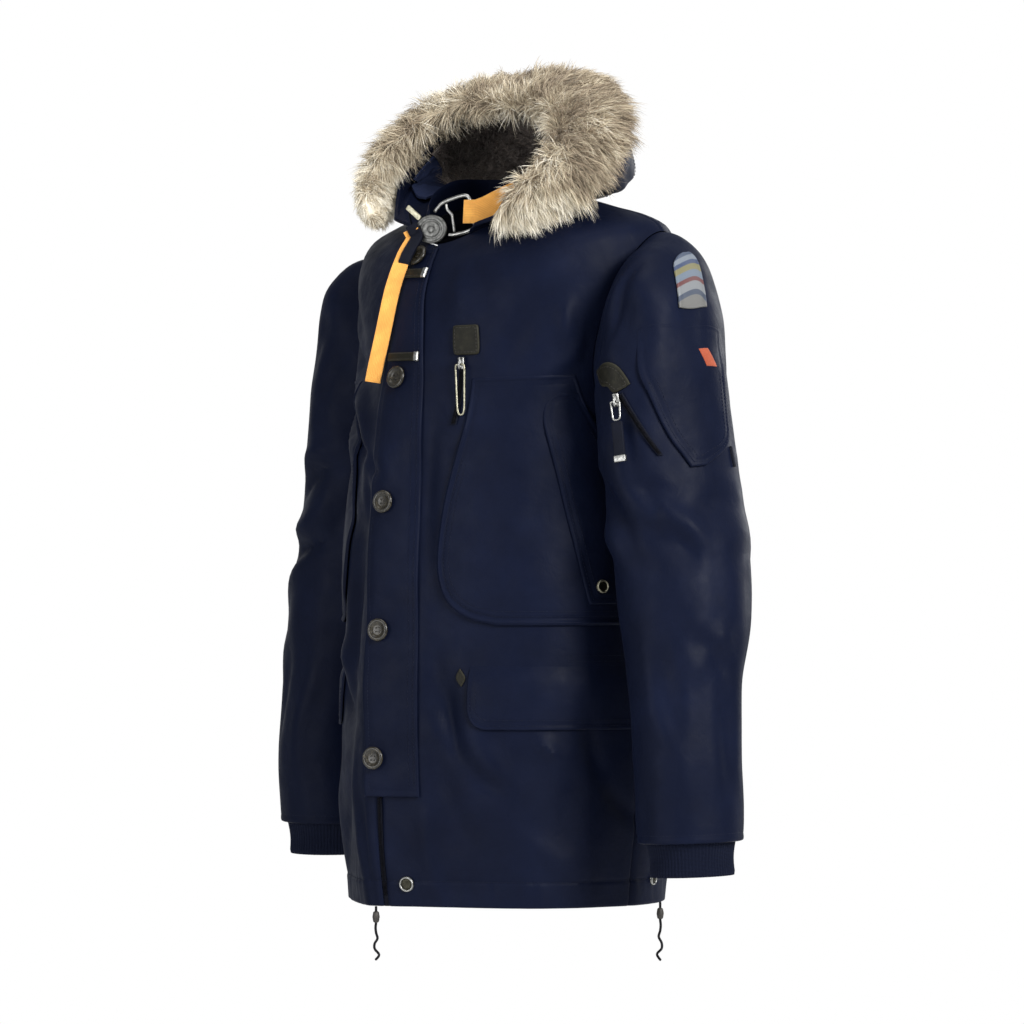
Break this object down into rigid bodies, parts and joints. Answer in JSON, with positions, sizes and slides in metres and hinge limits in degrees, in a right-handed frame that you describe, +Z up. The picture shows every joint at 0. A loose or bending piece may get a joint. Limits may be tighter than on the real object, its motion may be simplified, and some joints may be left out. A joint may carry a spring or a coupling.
{
  "type": "down parka with a fur-edged hood",
  "caption": "Long down-filled parka with a fur-edged hood, buttoned storm flap, patch pockets, rib cuffs and an arm pocket, in its hollow worn shape.",
  "frame": {"origin": "inside the neck at the height of the collar seam at the sides, where the wearer's shoulders carry the coat", "axes": "+Z up, -Y the way the front looks, +X the wearer's left"},
  "size_m": [0.726, 0.3783, 0.9863],
  "materials": {
    "navy_shell": "smooth matt twill",
    "navy_rib": "ribbed knit and woven tape",
    "pile_lining": "deep plush",
    "fur": "long fur",
    "leather": "dull grained",
    "horn_button": "polished horn look",
    "steel": "polished, a little worn",
    "old_brass": "dull",
    "webbing": "close woven tape",
    "orange_tag": "woven label",
    "badge": "embroidered",
    "black_cord": "braided cord"
  },
  "bodies": {
    "coat": {"back": "navy_shell", "badge": "badge", "bar_lower": "leather", "bar_upper": "leather", "button_1": "horn_button", "button_2": "horn_button", "button_3": "horn_button", "button_4": "horn_button", "button_5": "horn_button", "chest_pouch_left": "navy_shell", "chest_pouch_right": "navy_shell", "chest_slider": "steel", "chest_tab": "leather", "chest_zip": "navy_rib", "cord_bead_left": "black_cord", "cord_bead_right": "black_cord", "cuff_left": "navy_rib", "cuff_right": "navy_rib", "flap_strap": "black_cord", "front_left": "navy_shell", "front_right": "navy_shell", "front_zip": "navy_rib", "hand_flap_left": "navy_shell", "hand_flap_right": "navy_shell", "hang_strap": "webbing", "hem_cord_left": "black_cord", "hem_cord_right": "black_cord", "hem_snap": "steel", "hip_flap_left": "navy_shell", "hip_flap_right": "navy_shell", "hood_centre": "navy_shell", "hood_facing_left": "navy_shell", "hood_facing_right": "navy_shell", "hood_left": "navy_shell", "hood_pile": "pile_lining", "hood_right": "navy_shell", "hook_disc": "steel", "hook_frame": "steel", "hook_gate": "steel", "hook_tongue": "old_brass", "hook_webbing": "webbing", "neck_loop": "black_cord", "neck_stand": "navy_shell", "pocket_snap": "old_brass", "pouch_corner": "leather", "ruff": "fur", "size_label": "orange_tag", "sleeve_flap": "navy_shell", "sleeve_left": "navy_shell", "sleeve_right": "navy_shell", "sleeve_slider": "steel", "sleeve_tab": "leather", "sleeve_zip": "navy_rib", "storm_flap": "navy_shell", "vent_snap": "steel"},
    "chest_pull": {"chest_pull": "old_brass"},
    "sleeve_pull": {"sleeve_pull": "steel", "sleeve_pull_tab": "navy_rib"}
  },
  "joints": [
    {"name": "chest_pull_swing", "type": "hinge", "parent": "coat", "child": "chest_pull", "pos_m": [0.08652, -0.14294, -0.15719], "axis": [-0.9172, -0.397, -0.0339], "range_deg": [0, 150]},
    {"name": "sleeve_pull_swing", "type": "hinge", "parent": "coat", "child": "sleeve_pull", "pos_m": [0.26615, -0.0779, -0.19867], "axis": [-0.911, -0.3845, -0.1491], "range_deg": [0, 150]}
  ]
}
